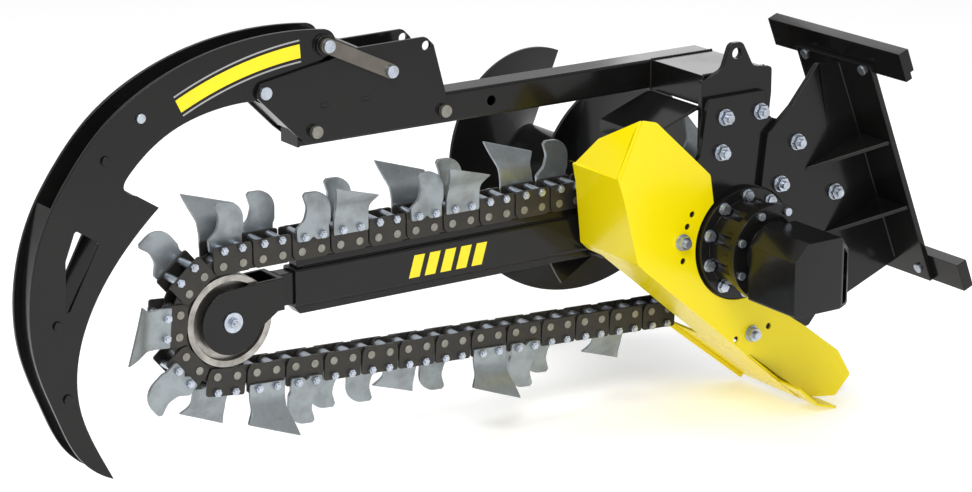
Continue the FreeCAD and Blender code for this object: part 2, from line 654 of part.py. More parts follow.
# ---- Nose ----
def make_nose():
    """Sliding nose carrier with its wheel, axle and grease tensioner."""
    cheek_in = CHAIN_HALF_WIDTH + 1.5
    cheek_out = cheek_in + CHEEK_T
    neck_x = BOOM_FRONT - NECK_LENGTH
    top = BOOM_TOP - BOOM_WALL
    low = BOOM_BOTTOM + BOOM_WALL
    carrier = None
    for side in (-1, 1):
        y0, y1 = sorted((side * cheek_in, side * cheek_out))
        cheek = cyl_y(NOSE_X, NOSE_Z, CHEEK_R, y0, y1)
        arm = prism([(NOSE_X, NOSE_Z + CHEEK_R), (neck_x, top), (neck_x + 14, top), (neck_x + 14, low),
                     (neck_x, low), (NOSE_X + CHEEK_R * 0.94, NOSE_Z - CHEEK_R * 0.34),
                     (NOSE_X, NOSE_Z - CHEEK_R * 0.4)], y0, y1)
        cheek = cheek.fuse(arm).removeSplitter()
        cheek = cheek.cut(cyl_y(NOSE_X, NOSE_Z, AXLE_R + 0.02, y0 - 1, y1 + 1))
        carrier = cheek if carrier is None else carrier.fuse(cheek)
    carrier = carrier.fuse(box(neck_x + 2, neck_x + 14, -cheek_out, cheek_out, low, top))
    clear = 0.3
    half = BOOM_WIDTH / 2 - BOOM_WALL - clear
    shank = box(neck_x + 2, neck_x + 2 + SHANK_LENGTH, -half, half, low + clear, top - clear)
    bore_x = NOSE_SHANK_END
    carrier = carrier.fuse(shank).removeSplitter()
    save("nose_carrier", carrier)
    hub_bore = AXLE_R + 13
    wheel = cyl_y(NOSE_X, NOSE_Z, WHEEL_R, -CHAIN_HALF_WIDTH + 0.5, CHAIN_HALF_WIDTH - 0.5)
    for side in (-1, 1):
        y0, y1 = sorted((side * (CHAIN_HALF_WIDTH - 12), side * CHAIN_HALF_WIDTH))
        recess = tube_y(NOSE_X, NOSE_Z, WHEEL_R - 13, hub_bore + 10, y0, y1)
        wheel = wheel.cut(recess)
    wheel = wheel.cut(cyl_y(NOSE_X, NOSE_Z, hub_bore, -40, 40))
    save("nose_wheel", wheel)
    bearings = []
    for side in (-1, 1):
        y0, y1 = sorted((side * 6, side * 24))
        bearings.append(tube_y(NOSE_X, NOSE_Z, hub_bore - 0.02, AXLE_R + RUNNING, y0, y1))
    save("nose_wheel_bearings", bearings)
    axle = cyl_y(NOSE_X, NOSE_Z, AXLE_R, -cheek_out, cheek_out)
    caps = []
    for side in (-1, 1):
        washer = cyl_y(NOSE_X, NOSE_Z, 19.5, *sorted((side * cheek_out, side * (cheek_out + 4))))
        nut = hexagon_y(NOSE_X, NOSE_Z, 17, *sorted((side * (cheek_out + 4), side * (cheek_out + 12))))
        tip = cyl_y(NOSE_X, NOSE_Z, 5, *sorted((side * (cheek_out + 12), side * (cheek_out + 17))))
        caps.append(washer.fuse(nut).fuse(tip))
    save("nose_axle", [axle] + caps)
    z = BOOM_OFFSET_Z
    rod = cyl_between(V(bore_x, 0, z), V(bore_x + 90, 0, z), 12)
    save("tension_rod", rod)
    cylinder = cyl_between(V(bore_x + TENSION_TRAVEL + 6, 0, z), V(bore_x + 190, 0, z), 16.8)
    bore = cyl_between(V(bore_x + 10, 0, z), V(bore_x + 90 + TENSION_TRAVEL + 5, 0, z), 12 + RUNNING)
    save("tension_cylinder", cylinder.cut(bore))


# ---- Auger ----
def make_auger():
    """Spoil auger on the head shaft: a flanged tube with one flight."""
    length = AUGER_PITCH * AUGER_TURNS
    end = AUGER_START + length
    tube = tube_y(0, 0, AUGER_TUBE_R, AUGER_TUBE_R - 7, 74, end + 6)
    tube = tube.fuse(tube_y(0, 0, AUGER_FLANGE_R, AUGER_TUBE_R - 7, 74, 86))
    tube = tube.fuse(cyl_y(0, 0, AUGER_TUBE_R, end, end + 6))
    for x, z in ring_points(6, AUGER_BOLT_CIRCLE, 0):
        tube = tube.cut(cyl_y(x, z, 6 + BOLT_PLAY, 73, 87))
    save("auger_tube", tube)
    helix = Part.makeHelix(AUGER_PITCH, length, AUGER_TUBE_R + 0.2)
    section = Part.makePolygon([V(AUGER_TUBE_R + 0.2, 0, -FLIGHT_T / 2), V(AUGER_R, 0, -FLIGHT_T / 2),
                                V(AUGER_R, 0, FLIGHT_T / 2), V(AUGER_TUBE_R + 0.2, 0, FLIGHT_T / 2),
                                V(AUGER_TUBE_R + 0.2, 0, -FLIGHT_T / 2)])
    flight = Part.Wire(helix.Edges).makePipeShell([section], True, True)
    flight.rotate(V(0, 0, 0), V(0, 0, 1), AUGER_PHASE)
    flight.rotate(V(0, 0, 0), V(1, 0, 0), -90)
    flight.translate(V(0, AUGER_START, 0))
    save("auger_flight", flight)
    bolts = []
    for x, z in ring_points(6, AUGER_BOLT_CIRCLE, 0):
        bolts.append(bolt_y(x, z, 6, 60, 86))
    save("auger_flange_bolts", bolts)


# ---- Hitch ----
def hitch_point(along, out=0.0):
    """Point on the leaning hitch plate: distance down its front face, and out toward the loader."""
    x = HITCH_FACE_X + along * math.sin(LEAN) + out * math.cos(LEAN)
    z = HITCH_TOP_Z - along * math.cos(LEAN) + out * math.sin(LEAN)
    return x, z


def lean_bar(a0, a1, o0, o1, y0, y1):
    """Bar parallel to the hitch plate: along, out and Y ranges."""
    corners = [hitch_point(a0, o0), hitch_point(a1, o0), hitch_point(a1, o1), hitch_point(a0, o1)]
    return prism(corners, y0, y1)


def make_hitch():
    """Leaning loader plate with top and bottom cross bars, side plate and two gussets."""
    y0 = HITCH_PLATE_Y - HITCH_PLATE_WIDTH / 2
    y1 = HITCH_PLATE_Y + HITCH_PLATE_WIDTH / 2
    bar0 = HITCH_PLATE_Y - HITCH_BAR_LENGTH / 2
    bar1 = HITCH_PLATE_Y + HITCH_BAR_LENGTH / 2
    plate = lean_bar(0, HITCH_LENGTH - 14, 0, HITCH_PLATE_T, y0, y1)
    out = HITCH_PLATE_T
    top = lean_bar(-40, -40 + HITCH_BAR_H, out, out + HITCH_BAR_T, bar0, bar1)
    bottom = lean_bar(HITCH_LENGTH - 70, HITCH_LENGTH - 8, out, out + HITCH_BAR_T, bar0, bar1)
    top = top.cut(lean_bar(-40 + HITCH_BAR_H - 14, 200, out + HITCH_BAR_T - 9, 100, bar0 - 1, bar1 + 1))
    bolts = []
    upper_row = 12
    lower_row = HITCH_LENGTH - 40
    for along, y in ((upper_row, y0 + 26), (upper_row, y1 - 26), (lower_row, y0 + 26), (lower_row, y1 - 26)):
        start = V(hitch_point(along, -10)[0], y, hitch_point(along, -10)[1])
        face = V(hitch_point(along, 0)[0], y, hitch_point(along, 0)[1])
        end = V(hitch_point(along, out + 15)[0], y, hitch_point(along, out + 15)[1])
        plate = plate.cut(cyl_between(start, end, 6 + BOLT_PLAY))
        hole = cyl_between(start, end, 6 + BOLT_PLAY)
        top = top.cut(hole)
        bottom = bottom.cut(hole)
        shank = cyl_between(face, end, 6)
        head = cyl_between(V(hitch_point(along, -5)[0], y, hitch_point(along, -5)[1]), face, 10)
        bolts.append(shank.fuse(head))
    save("hitch_plate", plate)
    save("hitch_bars", [top, bottom])
    save("hitch_bolts", bolts)
    side_y0 = HEAD_FACE - HEAD_PLATE_T
    top_x, top_z = hitch_point(6)
    low_x, low_z = hitch_point(HITCH_LENGTH - 40)
    side = prism([(top_x - 52, top_z, 6), (top_x, top_z), (low_x, low_z), (250, -160, 20), (150, -150, 20),
                  (100, 0), (38, 101), (51, 214, 15), (109, 263, 15)], side_y0, HEAD_FACE)
    side = side.cut(cyl_y(0, 0, FLANGE_R + 2, side_y0 - 1, HEAD_FACE + 1))
    for x, z in HITCH_BOLTS:
        side = side.cut(cyl_y(x, z, 8 + BOLT_PLAY, side_y0 - 1, HEAD_FACE + 1))
    save("hitch_side_plate", side)
    gussets = []
    for along, depth in ((172, 150), (325, 150)):
        root = hitch_point(along)
        tip = hitch_point(along, -depth)
        gussets.append(facet([(root[0], side_y0, root[1]), (root[0], y0 + 6, root[1]),
                              (tip[0], side_y0, tip[1])], 8))
    save("hitch_gussets", gussets)


# ---- Deflector ----
def make_deflector():
    """Bent yellow spoil deflector, bolted to the main plate through arcs of index holes."""
    face = HEAD_FACE
    sheet = DEFLECTOR_T
    outer = face - sheet
    points = [(-309, 174, 4), (-258, 284, 16), (-218, 274, 16), (-84, 150, 12), (-60, 0), (62, -134, 10),
              (166, -204, 8), (259, -275, 8), (294, -333, 8), (255, -372, 8), (156, -358),
              (-238, -23), (-258, -4), (-294, 132)]
    main = prism(points, outer, face)
    main = main.cut(cyl_y(0, 0, FLANGE_R + 5, outer - 1, face + 1))
    main = main.cut(cyl_y(DEFLECTOR_BOLTS[0][0], DEFLECTOR_BOLTS[0][1], 8 + BOLT_PLAY, outer - 1, face + 1))
    main = main.cut(cyl_y(DEFLECTOR_BOLTS[1][0], DEFLECTOR_BOLTS[1][1], 8 + BOLT_PLAY, outer - 1, face + 1))
    for radius, angles in ((148.4, (149, 159, 186)), (202.0, (256, 267, 291))):
        for angle in angles:
            x = radius * math.cos(math.radians(angle))
            z = radius * math.sin(math.radians(angle))
            main = main.cut(cyl_y(x, z, 6.5, outer - 1, face + 1))
    wall_y = -75.0
    wall_low_y = -33.0
    floor_y = -75.0
    wall = prism([(-309, 174), (-294, 132), (-258, -4), (-238, -23), (-234, -19), (-253, -1), (-289, 133),
                  (-304, 176)], outer, wall_low_y)
    slope = Part.makePolygon([V(-400, wall_y, 174), V(-400, wall_low_y, -4), V(-400, 0, -4), V(-400, 0, 290),
                              V(-400, wall_y, 290), V(-400, wall_y, 174)])
    wall = wall.cut(Part.Face(slope).extrude(V(300, 0, 0)))
    floor = prism([(-238, -23), (156, -358), (159.3, -354), (-234.7, -19)], outer, floor_y)
    tongue = prism([(20, -242.4), (156, -358), (205, -372), (206, -367), (158, -353), (24, -239)],
                   outer - 62, outer)
    nose_trim = prism([(0, -200), (0, -420), (60, -420), (150, -200)], outer - 80, outer - 1)
    low_near = V(-309, outer, 174)
    low_far = V(-304, wall_y, 174)
    high_near = V(-258, outer, 284)
    high_far = low_near.add(low_far.sub(low_near).multiply(0.7)).add(high_near.sub(low_near).multiply(0.5))
    hood = facet([low_near, low_far, high_far, high_near], sheet)
    whole = main.fuse(wall).fuse(floor).fuse(tongue.cut(nose_trim)).fuse(hood)
    tray_x = 10.0
    tray_z = -23 - (tray_x + 238) * 335 / 394
    edge = [(tray_x, 20), (156, -35), (170, -40)]
    beyond = Part.makePolygon([V(x, y, -400) for x, y in edge + [(170, 60), (tray_x, 60), (tray_x, 20)]])
    beyond = Part.Face(beyond).extrude(V(0, 0, 300))
    tray = prism([(tray_x, tray_z), (156, -358), (159.3, -354), (tray_x + 3.3, tray_z + 4)], outer, 20)
    lip = prism([(tray_x, tray_z), (156, -358), (151, -364), (tray_x - 5, tray_z - 6)], -60, 20)
    inner_corners = [(0, 23.8)] + edge + [(170, -70), (0, -70), (0, 23.8)]
    inside = Part.makePolygon([V(x, y - 12, -400) for x, y in inner_corners])
    save("deflector", whole.fuse(tray.cut(beyond)))
    save("deflector_skid", lip.cut(beyond).cut(Part.Face(inside).extrude(V(0, 0, 300))))


# ---- Crumber beam and bracket ----
def make_beam():
    low = BEAM_Z - BEAM_HALF
    high = BEAM_Z + BEAM_HALF
    beam = box(BEAM_FRONT_X + 5, BEAM_BACK_X, -BEAM_HALF, BEAM_HALF, low, high)
    long_edges = [e for e in beam.Edges if e.BoundBox.XLength > 100]
    beam = beam.makeFillet(6, long_edges)
    beam = beam.cut(box(BEAM_FRONT_X, BEAM_BACK_X - 6, -BEAM_HALF + BEAM_WALL, BEAM_HALF - BEAM_WALL,
                        low + BEAM_WALL, high - BEAM_WALL))
    for x in (PIN_A_X, PIN_B_X, BEAM_SPARE_X):
        beam = beam.cut(cyl_y(x, BEAM_Z, QUICK_PIN_R + BOLT_PLAY, -50, 50))
    cap = box(BEAM_FRONT_X, BEAM_FRONT_X + 5, -BEAM_HALF, BEAM_HALF, low, high)
    save("crumber_beam", beam.fuse(cap))


def make_bracket():
    """Two plates that straddle the beam, held by two quick pins, and carry the crumber."""
    low = BEAM_Z - 22
    points = [(STOP_AT[0] - 20, STOP_AT[1] - 4, 14), (STOP_AT[0] - 8, STOP_AT[1] + 18, 12), (-800, 450, 20),
              (-779, 458, 10), (EYE_AT[0], EYE_AT[1] + 17, 14), (EYE_AT[0] + 17, EYE_AT[1], 10),
              (-580, 337, 20),
              (-564, low + 8, 10), (-590, low, 10), (-888, low, 10), (-912, BEAM_Z - 2, 10)]
    plates = []
    for side in (-1, 1):
        y0, y1 = sorted((side * BRACKET_IN, side * BRACKET_OUT))
        plate = prism(points, y0, y1)
        for at, radius in ((STOP_AT, LINK_PIN_R), (LINK_BACK_AT, LINK_PIN_R), (EYE_AT, EYE_HOLE_R),
                           ((PIN_A_X, BEAM_Z), QUICK_PIN_R), ((PIN_B_X, BEAM_Z), QUICK_PIN_R)):
            plate = plate.cut(cyl_y(at[0], at[1], radius + RUNNING, y0 - 1, y1 + 1))
        for x in (-849, -760):
            plate = plate.cut(box(x - 9, x + 9, y0 - 1, y1 + 1, 356, 364))
        pad_y0, pad_y1 = sorted((side * (BEAM_HALF + 0.2), side * BRACKET_IN))
        for x0, x1 in ((PIN_A_X + 16, PIN_A_X + 90), (PIN_B_X - 90, PIN_B_X - 16)):
            plate = plate.fuse(box(x0, x1, pad_y0, pad_y1, BEAM_Z - 20, BEAM_Z + 20))
        plates.append(plate)
    save("bracket_plates", plates)
    top = box(-872, -740, -BRACKET_IN, BRACKET_IN, 356, 364)
    for x in (-849, -760):
        top = top.fuse(box(x - 9, x + 9, -BRACKET_OUT, BRACKET_OUT, 356, 364))
    front = prism([(-966, 372), (-913, 318), (-908, 323), (-961, 377)], -BRACKET_IN, BRACKET_IN)
    save("bracket_cross_plates", [top, front])
    stop = tube_y(STOP_AT[0], STOP_AT[1], 12, LINK_PIN_R + 0.02, -BRACKET_IN, BRACKET_IN)
    save("stop_spacer", stop)
    bolts = []
    for at, reach in ((STOP_AT, BRACKET_OUT), (LINK_BACK_AT, STRAP_OUT + SIDE_PLAY)):
        bolt = cyl_y(at[0], at[1], LINK_PIN_R, -reach, reach)
        for side in (-1, 1):
            y0, y1 = sorted((side * reach, side * (reach + 7)))
            bolt = bolt.fuse(cyl_y(at[0], at[1], 12, y0, y1))
        bolts.append(bolt)
    save("bracket_bolts", bolts)
    pins, clips = [], []
    for label, x in (("front", PIN_A_X), ("rear", PIN_B_X)):
        end = BRACKET_OUT + 19
        pin = cyl_y(x, BEAM_Z, QUICK_PIN_R, -BRACKET_OUT - 2, end)
        pin = pin.fuse(Part.makeCone(QUICK_PIN_R, QUICK_PIN_R - 3, 3, V(x, end, BEAM_Z), V(0, 1, 0)))
        pin = pin.fuse(cyl_y(x, BEAM_Z, 12, -BRACKET_OUT - 12, -BRACKET_OUT - 1))
        cross = Part.makeCylinder(3.05, 40, V(x, BRACKET_OUT + 10, BEAM_Z - 20))
        pins.append(pin.cut(cross))
        clip = Part.makeCylinder(3, 34, V(x, BRACKET_OUT + 10, BEAM_Z - 16))
        clip = clip.fuse(box(x - 4, x + 4, BRACKET_OUT + 5, BRACKET_OUT + 15, BEAM_Z + 13, BEAM_Z + 24))
        clip_hole = Part.makeCylinder(2.6, 20, V(x - 10, BRACKET_OUT + 10, BEAM_Z + 19), V(1, 0, 0))
        clips.append(clip.cut(clip_hole))
        save("lynch_ring_" + label, lynch_ring(x))
    save("quick_pins", pins)
    save("lynch_pins", clips)


def lynch_ring(x):
    """Wire ring of a lynch pin. It hinges in the pin's head and hangs round the quick pin's end."""
    ring = Part.makeTorus(LYNCH_RING_R, 1.8, V(0, 0, -LYNCH_RING_R), V(0, 1, 0))
    ring.rotate(V(0, 0, 0), V(1, 0, 0), LYNCH_RING_TILT)
    ring.translate(V(x, BRACKET_OUT + 10, BEAM_Z + 19))
    return ring


# ---- Crumber ----
def crumber_outline():
    """Hooked side plate: a back curve down to the tip, and a front curve back up to the link end."""
    front = LINK_FRONT_AT
    back_points = [(front[0] + 4, front[1] + 28), (-1046, 495), (-1175, 457), (-1303, 377), (-1367, 304),
                   (-1414, 230), (-1454, 99), (-1449, -37), (-1412, -144), (-1378, -218), (-1304, -281)]
    inner_points = [(-1304, -281), (-1335, -219), (-1366, -132), (-1366, -45), (-1346, 22), (-1307, 93),
                    (-1249, 164), (-1194, 216)]
    top_points = [(-1237, 244), (-1263, 266), (-1247, 290), (-1136, 364), (-1014, 385)]
    return back_points, inner_points, top_points


def curve_edge(points):
    spline = Part.BSplineCurve()
    spline.interpolate([V(p[0], 0, p[1]) for p in points])
    return spline.toShape()


def line_edge(a, b):
    return Part.LineSegment(V(a[0], 0, a[1]), V(b[0], 0, b[1])).toShape()


def crumber_face():
    back, inner, top = crumber_outline()
    front = LINK_FRONT_AT
    end_r = 26.0
    boss_a = (front[0] + 4, front[1] + 28)
    boss_b = (front[0] + 26, front[1] + 2)
    boss_c = (front[0] + 4, front[1] - 24)
    edges = [curve_edge(back), curve_edge(inner), line_edge(inner[-1], top[0]), curve_edge(top)]
    edges.append(line_edge(top[-1], (STOP_AT[0] + 26, STOP_AT[1] - 15)))
    edges.append(line_edge((STOP_AT[0] + 26, STOP_AT[1] - 15), boss_c))
    arc = Part.Arc(V(boss_c[0], 0, boss_c[1]), V(boss_b[0], 0, boss_b[1]), V(boss_a[0], 0, boss_a[1]))
    edges.append(arc.toShape())
    return Part.Face(Part.Wire(Part.__sortEdges__(edges)))


def make_crumber():
    face = crumber_face()
    slot = prism([(-1362, 200, 5), (-1316, 170, 4), (-1387, 38, 4), (-1383, 146, 12)], -60, 60)
    notch = cyl_y(STOP_AT[0], STOP_AT[1], 13, -60, 60)
    notch = notch.fuse(box(STOP_AT[0] - 13, STOP_AT[0] + 13.5, -60, 60, STOP_AT[1] - 60, STOP_AT[1]))
    bolt_places = ((-1226, 386), (-1298, 318), (-1404, 30), (-1390, -110))
    plates = []
    for side in (-1, 1):
        y0, y1 = sorted((side * CRUMBER_IN, side * CRUMBER_OUT))
        plate = face.copy()
        plate.translate(V(0, y0, 0))
        plate = plate.extrude(V(0, y1 - y0, 0)).cut(slot).cut(notch)
        plate = plate.cut(cyl_y(LINK_FRONT_AT[0], LINK_FRONT_AT[1], LINK_PIN_R + 0.02, -60, 60))
        for x, z in bolt_places:
            plate = plate.cut(cyl_y(x, z, 6 + 0.1, -60, 60))
        boss_y0, boss_y1 = sorted((side * CRUMBER_OUT, side * STRAP_IN))
        boss = tube_y(LINK_FRONT_AT[0], LINK_FRONT_AT[1], 20, LINK_PIN_R + 0.02, boss_y0, boss_y1)
        plates.append(plate.fuse(boss))
    save("crumber_plates", plates)
    spacers, bolts = [], []
    for x, z in bolt_places:
        spacers.append(tube_y(x, z, 11, 6.1, -CRUMBER_IN, CRUMBER_IN))
        bolt = cyl_y(x, z, 6, -CRUMBER_OUT, CRUMBER_OUT)
        for side in (-1, 1):
            bolt = bolt.fuse(cyl_y(x, z, 9, *sorted((side * CRUMBER_OUT, side * (CRUMBER_OUT + 5)))))
        bolts.append(bolt)
    save("crumber_spacers", spacers)
    save("crumber_bolts", bolts)
    shoe_outer = [(-1404, 245), (-1442, 99), (-1438, -35), (-1402, -142), (-1371, -212)]
    shoe_inner = [(-1363, -209), (-1394, -139), (-1429, -34), (-1433, 98), (-1396, 242)]
    edges = [curve_edge(shoe_outer), line_edge(shoe_outer[-1], shoe_inner[0]), curve_edge(shoe_inner),
             line_edge(shoe_inner[-1], shoe_outer[0])]
    shoe = Part.Face(Part.Wire(Part.__sortEdges__(edges)))
    shoe.translate(V(0, -CRUMBER_IN, 0))
    spike = prism([(-1234, 240), (-1203, 217), (-1250, 172), (-1256, 178), (-1216, 216), (-1238, 233)],
                  -CRUMBER_IN, CRUMBER_IN)
    save("crumber_shoe", [shoe.extrude(V(0, 2 * CRUMBER_IN, 0)), spike])
    make_links()


def make_links():
    """Straps on both sides from the crumber's end to the bracket pivot, and the strut between them."""
    dx = LINK_BACK_AT[0] - LINK_FRONT_AT[0]
    dz = LINK_BACK_AT[1] - LINK_FRONT_AT[1]
    length = math.hypot(dx, dz)
    angle = math.atan2(dz, dx)
    straps = []
    for side in (-1, 1):
        y0, y1 = sorted((side * STRAP_IN, side * STRAP_OUT))
        strap = box(0, length, y0, y1, -STRAP_R, STRAP_R)
        strap = strap.fuse(cyl_y(0, 0, STRAP_R, y0, y1)).fuse(cyl_y(length, 0, STRAP_R, y0, y1))
        strap = strap.removeSplitter()
        strap = strap.cut(cyl_y(0, 0, LINK_PIN_R + 0.02, y0 - 1, y1 + 1))
        strap = strap.cut(cyl_y(length, 0, LINK_PIN_R + RUNNING, y0 - 1, y1 + 1))
        straps.append(turned(LINK_FRONT_AT[0], LINK_FRONT_AT[1], angle, strap))
    save("link_straps", straps)
    half = CRUMBER_IN - SIDE_PLAY
    barrel = cyl_between(V(8, 0, 0), V(length * 0.62, 0, 0), 21)
    barrel = barrel.fuse(cyl_y(0, 0, 18, -half, half))
    barrel = barrel.cut(cyl_y(0, 0, LINK_PIN_R + 0.02, -60, 60))
    barrel = barrel.cut(cyl_between(V(length * 0.3, 0, 0), V(length, 0, 0), 15.3))
    save("strut_barrel", turned(LINK_FRONT_AT[0], LINK_FRONT_AT[1], angle, barrel))
    rod = cyl_between(V(length * 0.35, 0, 0), V(length - 8, 0, 0), 15)
    rod = rod.fuse(cyl_y(length, 0, 17, -half, half)).cut(cyl_y(length, 0, LINK_PIN_R + RUNNING, -60, 60))
    save("strut_rod", turned(LINK_FRONT_AT[0], LINK_FRONT_AT[1], angle, rod))
    bolt = cyl_y(LINK_FRONT_AT[0], LINK_FRONT_AT[1], LINK_PIN_R, -STRAP_OUT, STRAP_OUT)
    for side in (-1, 1):
        y0, y1 = sorted((side * STRAP_OUT, side * (STRAP_OUT + 7)))
        bolt = bolt.fuse(cyl_y(LINK_FRONT_AT[0], LINK_FRONT_AT[1], 12, y0, y1))
    save("link_front_bolt", bolt)


make_chain()
make_teeth()
make_drive()
make_head()
make_boom()
make_nose()
make_auger()
make_hitch()
make_deflector()
make_beam()
make_bracket()
make_crumber()
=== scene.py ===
import math

import bmesh
import bpy
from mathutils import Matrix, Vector


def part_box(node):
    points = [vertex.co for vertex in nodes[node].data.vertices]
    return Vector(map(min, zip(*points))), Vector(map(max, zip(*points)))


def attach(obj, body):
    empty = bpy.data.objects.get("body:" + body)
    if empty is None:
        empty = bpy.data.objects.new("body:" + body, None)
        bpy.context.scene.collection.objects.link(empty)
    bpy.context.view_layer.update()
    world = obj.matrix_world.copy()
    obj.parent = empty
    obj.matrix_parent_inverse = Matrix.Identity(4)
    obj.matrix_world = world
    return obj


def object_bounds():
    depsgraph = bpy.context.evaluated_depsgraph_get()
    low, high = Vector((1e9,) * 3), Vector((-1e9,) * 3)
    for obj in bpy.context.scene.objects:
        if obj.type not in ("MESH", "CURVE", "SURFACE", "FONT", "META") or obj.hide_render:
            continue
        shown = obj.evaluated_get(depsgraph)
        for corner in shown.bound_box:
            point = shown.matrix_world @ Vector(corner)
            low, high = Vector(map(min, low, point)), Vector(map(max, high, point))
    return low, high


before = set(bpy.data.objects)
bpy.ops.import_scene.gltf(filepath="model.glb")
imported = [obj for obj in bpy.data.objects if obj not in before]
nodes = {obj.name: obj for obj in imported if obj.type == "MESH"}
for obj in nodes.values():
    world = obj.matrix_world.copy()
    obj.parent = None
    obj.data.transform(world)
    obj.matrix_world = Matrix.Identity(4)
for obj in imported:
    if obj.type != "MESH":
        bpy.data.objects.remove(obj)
cad_low, cad_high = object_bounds()

# ---- Hitch ----
# Steel plate and two cross bars that hang on the loader's quick-attach frame, with a bolted side
# plate and two long gussets. Cut from plate, bevelled by grinding, fillet welded and gloss painted.
shaft_low, shaft_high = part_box("head_shaft")
chain_low, chain_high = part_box("chain_side_bars")
HEAD = Vector(((shaft_low.x + shaft_high.x) / 2, (chain_low.y + chain_high.y) / 2,
               (shaft_low.z + shaft_high.z) / 2))
MM = 0.001


def at(x, y, z):
    """A place in millimetres from where the head shaft crosses the middle of the chain."""
    return HEAD + Vector((x, y, z)) * MM


def speckle_group():
    """Mottled tone, roughness and fine relief that every painted and bare steel finish shares."""
    group = bpy.data.node_groups.new("finish_speckle", "ShaderNodeTree")
    for label, kind, value in (("Color", "NodeSocketColor", (0.5, 0.5, 0.5, 1)),
                               ("Dirt", "NodeSocketColor", (0.1, 0.08, 0.06, 1)),
                               ("Dirt Amount", "NodeSocketFloat", 0.2),
                               ("Patch Scale", "NodeSocketFloat", 12.0),
                               ("Grain Scale", "NodeSocketFloat", 500.0),
                               ("Roughness", "NodeSocketFloat", 0.3),
                               ("Spread", "NodeSocketFloat", 0.1),
                               ("Stretch", "NodeSocketFloat", 1.0)):
        socket = group.interface.new_socket(label, in_out="INPUT", socket_type=kind)
        socket.default_value = value
    for label, kind in (("Color", "NodeSocketColor"), ("Roughness", "NodeSocketFloat"),
                        ("Height", "NodeSocketFloat")):
        group.interface.new_socket(label, in_out="OUTPUT", socket_type=kind)
    new, link = group.nodes.new, group.links.new
    entry, leave = new("NodeGroupInput"), new("NodeGroupOutput")
    place = new("ShaderNodeTexCoord")
    patches = new("ShaderNodeTexNoise")
    patches.inputs["Detail"].default_value = 5
    patches.inputs["Roughness"].default_value = 0.62
    link(place.outputs["Object"], patches.inputs["Vector"])
    link(entry.outputs["Patch Scale"], patches.inputs["Scale"])
    contrast = new("ShaderNodeMapRange")
    contrast.inputs["From Min"].default_value = 0.42
    contrast.inputs["From Max"].default_value = 0.72
    link(patches.outputs["Fac"], contrast.inputs["Value"])
    amount = new("ShaderNodeMath")
    amount.operation = "MULTIPLY"
    link(contrast.outputs["Result"], amount.inputs[0])
    link(entry.outputs["Dirt Amount"], amount.inputs[1])
    mix = new("ShaderNodeMix")
    mix.data_type = "RGBA"
    link(amount.outputs["Value"], mix.inputs["Factor"])
    link(entry.outputs["Color"], mix.inputs[6])
    link(entry.outputs["Dirt"], mix.inputs[7])
    link(mix.outputs[2], leave.inputs["Color"])
    spread = new("ShaderNodeMath")
    spread.operation = "MULTIPLY_ADD"
    link(contrast.outputs["Result"], spread.inputs[0])
    link(entry.outputs["Spread"], spread.inputs[1])
    link(entry.outputs["Roughness"], spread.inputs[2])
    link(spread.outputs["Value"], leave.inputs["Roughness"])
    combine = new("ShaderNodeCombineXYZ")
    combine.inputs["Y"].default_value = 1.0
    combine.inputs["Z"].default_value = 1.0
    link(entry.outputs["Stretch"], combine.inputs["X"])
    stretched = new("ShaderNodeVectorMath")
    stretched.operation = "MULTIPLY"
    link(place.outputs["Object"], stretched.inputs[0])
    link(combine.outputs["Vector"], stretched.inputs[1])
    grain = new("ShaderNodeTexNoise")
    grain.inputs["Detail"].default_value = 2
    link(stretched.outputs["Vector"], grain.inputs["Vector"])
    link(entry.outputs["Grain Scale"], grain.inputs["Scale"])
    link(grain.outputs["Fac"], leave.inputs["Height"])
    return group


speckle = speckle_group()


def finish(name, color, dirt, dirt_amount, roughness, spread, metallic=0.0, patch=12.0, grain=500.0,
           stretch=1.0, bump=0.05, coat=0.0, shine=0.5):
    """One material: the shared speckle feeds colour, roughness and bump of a shader of its own."""
    material = bpy.data.materials.new(name)
    material.use_nodes = True
    tree = material.node_tree
    shader = tree.nodes["Principled BSDF"]
    shader.inputs["Metallic"].default_value = metallic
    shader.inputs["Coat Weight"].default_value = coat
    shader.inputs["Specular IOR Level"].default_value = shine
    shader.inputs["Coat Roughness"].default_value = 0.06
    group = tree.nodes.new("ShaderNodeGroup")
    group.node_tree = speckle
    group.inputs["Color"].default_value = (*color, 1)
    group.inputs["Dirt"].default_value = (*dirt, 1)
    group.inputs["Dirt Amount"].default_value = dirt_amount
    group.inputs["Patch Scale"].default_value = patch
    group.inputs["Grain Scale"].default_value = grain
    group.inputs["Roughness"].default_value = roughness
    group.inputs["Spread"].default_value = spread
    group.inputs["Stretch"].default_value = stretch
    relief = tree.nodes.new("ShaderNodeBump")
    relief.inputs["Strength"].default_value = bump
    relief.inputs["Distance"].default_value = 0.0006
    tree.links.new(group.outputs["Color"], shader.inputs["Base Color"])
    tree.links.new(group.outputs["Roughness"], shader.inputs["Roughness"])
    tree.links.new(group.outputs["Height"], relief.inputs["Height"])
    tree.links.new(relief.outputs["Normal"], shader.inputs["Normal"])
    return material


def ease(piece, width, segments=2, angle=30):
    """Round a piece's sharp edges so that they catch the light, and keep its flat faces flat."""
    weld = piece.modifiers.new("weld", "WELD")
    weld.merge_threshold = 2e-6
    flat = piece.modifiers.new("flat", "DECIMATE")
    flat.decimate_type = "DISSOLVE"
    flat.angle_limit = math.radians(0.6)
    bevel = piece.modifiers.new("bevel", "BEVEL")
    bevel.width = width * MM
    bevel.segments = segments
    bevel.limit_method = "ANGLE"
    bevel.angle_limit = math.radians(angle)
    bevel.use_clamp_overlap = False
    bevel.miter_outer = "MITER_ARC"
    piece.modifiers.new("normals", "WEIGHTED_NORMAL")


